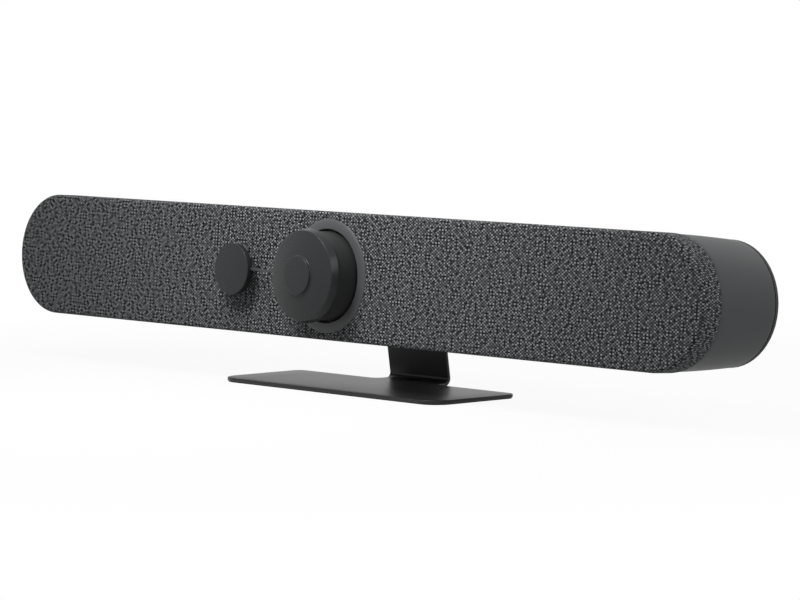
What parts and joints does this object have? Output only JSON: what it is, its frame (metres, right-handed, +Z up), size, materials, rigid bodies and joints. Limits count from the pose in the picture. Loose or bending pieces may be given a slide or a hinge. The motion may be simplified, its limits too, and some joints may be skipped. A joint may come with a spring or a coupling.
{
  "type": "conference camera",
  "caption": "Long round-ended conference camera bar with a fabric front, capped pan-tilt lens and viewfinder, on a bent steel table stand.",
  "frame": {"origin": "middle of the base plate's footprint, on the underside of its rubber pad", "axes": "+X to the viewer's right along the bar, +Y from the fabric front to the rear, +Z up"},
  "size_m": [0.721, 0.1195, 0.1272],
  "materials": {
    "grille_fabric": "heathered woven",
    "shell_plastic": "fine matte",
    "cover_plastic": "fine matte",
    "inner_plastic": "matte",
    "bezel_plastic": "satin",
    "cap_plastic": "soft matte",
    "cap_rubber": "soft",
    "optic_glass": "coated",
    "head_plastic": "gloss",
    "bright_steel": "brushed",
    "dark_steel": "blackened",
    "stand_paint": "fine powder coat",
    "motor_case": "anodised",
    "yoke_metal": "cast",
    "sink_metal": "extruded",
    "board": "solder mask",
    "insert_brass": "knurled",
    "cone_paper": "pressed pulp",
    "pad_rubber": "soft"
  },
  "bodies": {
    "root": {"fabric_grille": "grille_fabric", "front_baffle": "inner_plastic", "rear_housing": "shell_plastic", "rear_cover": "cover_plastic", "vent_panel": "inner_plastic", "cover_screws": "dark_steel", "lens_bezel": "bezel_plastic", "pan_motor": "motor_case", "gimbal_frame": "bright_steel", "gimbal_screws": "dark_steel", "viewfinder_ring": "head_plastic", "viewfinder_glass": "optic_glass", "viewfinder_module": "board", "speaker_frame_left": "dark_steel", "speaker_frame_right": "dark_steel", "speaker_cone_left": "cone_paper", "speaker_cone_right": "cone_paper", "speaker_screen_left": "dark_steel", "speaker_screen_right": "dark_steel", "mic_board_left": "board", "mic_board_right": "board", "main_board": "board", "heat_sink": "sink_metal", "io_board": "board", "board_spacers": "insert_brass", "power_inlet": "inner_plastic", "hdmi_sockets": "bright_steel", "usb_sockets": "bright_steel", "network_socket": "inner_plastic", "button_switch": "bright_steel", "threaded_inserts": "insert_brass", "stand_plate": "stand_paint", "stand_pad": "pad_rubber", "stand_screws": "dark_steel"},
    "lens_cap": {"lens_cap": "cap_plastic", "cap_sleeve": "cap_rubber", "viewfinder_cap": "cap_plastic", "viewfinder_plug": "cap_rubber", "cap_tether": "cap_rubber"},
    "pan_yoke": {"pan_yoke": "yoke_metal", "tilt_motor": "motor_case", "pan_shaft": "bright_steel"},
    "camera_head": {"camera_head": "head_plastic", "lens_barrel": "inner_plastic", "lens_glass": "optic_glass", "lens_element": "optic_glass", "sensor_board": "board", "tilt_shafts": "bright_steel"},
    "pairing_button": {"pairing_button": "shell_plastic"}
  },
  "joints": [
    {"name": "cap_pull", "type": "slide", "parent": "root", "child": "lens_cap", "axis": [0, -0.998, 0.0628], "range_m": [0, 0.04]},
    {"name": "head_pan", "type": "hinge", "parent": "root", "child": "pan_yoke", "pos_m": [0, -0.01882, 0.0813], "axis": [0, 0.0628, 0.998], "range_deg": [-25, 25]},
    {"name": "head_tilt", "type": "hinge", "parent": "pan_yoke", "child": "camera_head", "pos_m": [0, -0.01882, 0.0813], "axis": [1, 0, 0], "range_deg": [-15, 15]},
    {"name": "button_press", "type": "slide", "parent": "root", "child": "pairing_button", "axis": [0, -0.998, 0.0628], "range_m": [0, 0.0008], "stiffness_N_per_m": 400}
  ]
}
